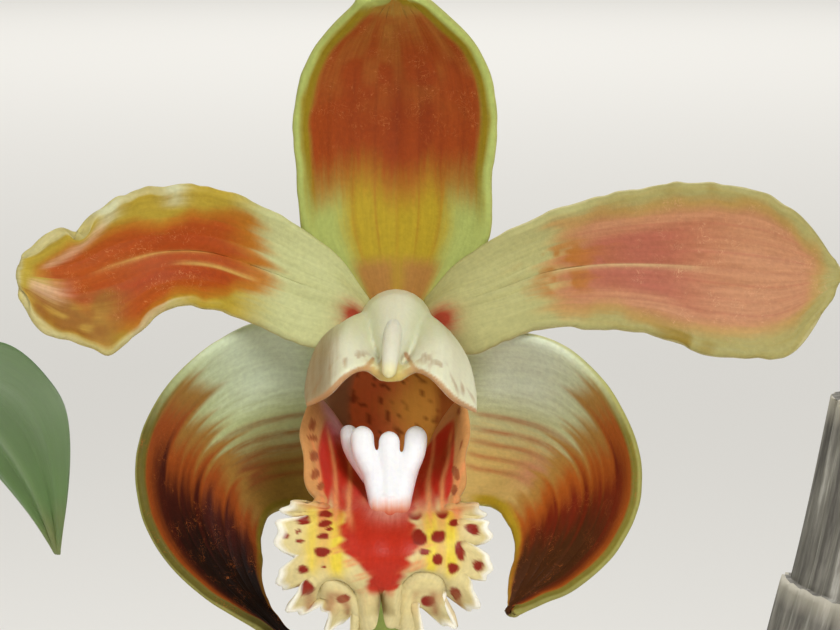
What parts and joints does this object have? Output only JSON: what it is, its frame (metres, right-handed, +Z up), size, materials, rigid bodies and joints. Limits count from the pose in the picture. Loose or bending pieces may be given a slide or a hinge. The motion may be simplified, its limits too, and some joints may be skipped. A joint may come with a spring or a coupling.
{
  "type": "potted chysis aurea",
  "caption": "Potted Chysis orchid in flower: clay pot of bark, jointed canes, pleated leaves and an upright spray of waxy orange and cream blooms with frilled red-spotted lips.",
  "frame": {"origin": "centre of the pot's flat underside", "axes": "+Z up, -Y the side that the lowest bloom faces, +X to that viewer's right"},
  "size_m": [0.3647, 0.3277, 0.4048],
  "materials": {
    "terracotta": "unglazed fired clay, dry and matt, faint pale bloom of salts",
    "bark": "rough dry conifer bark chips",
    "roots": "matt spongy root skin, greenish at the tips",
    "old_cane": "dry papery sheath with fine long fibres",
    "cane": "ribbed green cane under part-dried sheaths",
    "shoot": "smooth fresh green sheaths",
    "young_leaf": "thin pleated leaf, satin",
    "leaf": "thin pleated leaf, satin",
    "scape": "smooth green stem",
    "column": "waxy cream",
    "lip": "waxy, yellow with red blotches and a cream frill",
    "anther_cap": "waxy ivory",
    "callus": "smooth bright white",
    "petal": "waxy fleshy, cream base and orange to salmon blade",
    "sepal": "waxy fleshy, cream and yellow-green with an orange-brown blotch",
    "ovary": "smooth waxy pale green",
    "bud": "smooth waxy, greenish yellow flushed orange"
  },
  "bodies": {
    "root": {"pot": "terracotta", "bark_mix": "bark", "rhizome_and_roots": "roots", "old_cane_bare": "old_cane", "old_cane_back": "old_cane", "leafy_cane": "cane", "new_shoot": "shoot", "leaf_1": "young_leaf", "leaf_2": "young_leaf", "leaf_3": "young_leaf", "leaf_4": "young_leaf", "leaf_5": "young_leaf", "leaf_6": "leaf", "leaf_7": "leaf", "leaf_8": "leaf", "leaf_9": "leaf", "leaf_10": "leaf", "scape": "scape", "bloom_1_column": "column", "bloom_1_lip": "lip", "bloom_1_anther_cap": "anther_cap", "bloom_1_callus": "callus", "bloom_1_petal_left": "petal", "bloom_1_petal_right": "petal", "bloom_1_dorsal_sepal": "sepal", "bloom_1_lateral_sepal_left": "sepal", "bloom_1_lateral_sepal_right": "sepal", "bloom_1_stalk": "ovary", "bloom_2_column": "column", "bloom_2_lip": "lip", "bloom_2_tepals": "sepal", "bloom_2_stalk": "ovary", "bloom_3_column": "column", "bloom_3_lip": "lip", "bloom_3_tepals": "sepal", "bloom_3_stalk": "ovary", "bloom_4_column": "column", "bloom_4_lip": "lip", "bloom_4_tepals": "sepal", "bloom_4_stalk": "ovary", "bud_1": "bud", "bud_2": "bud", "bud_3": "bud", "bud_4": "bud"}
  },
  "joints": []
}
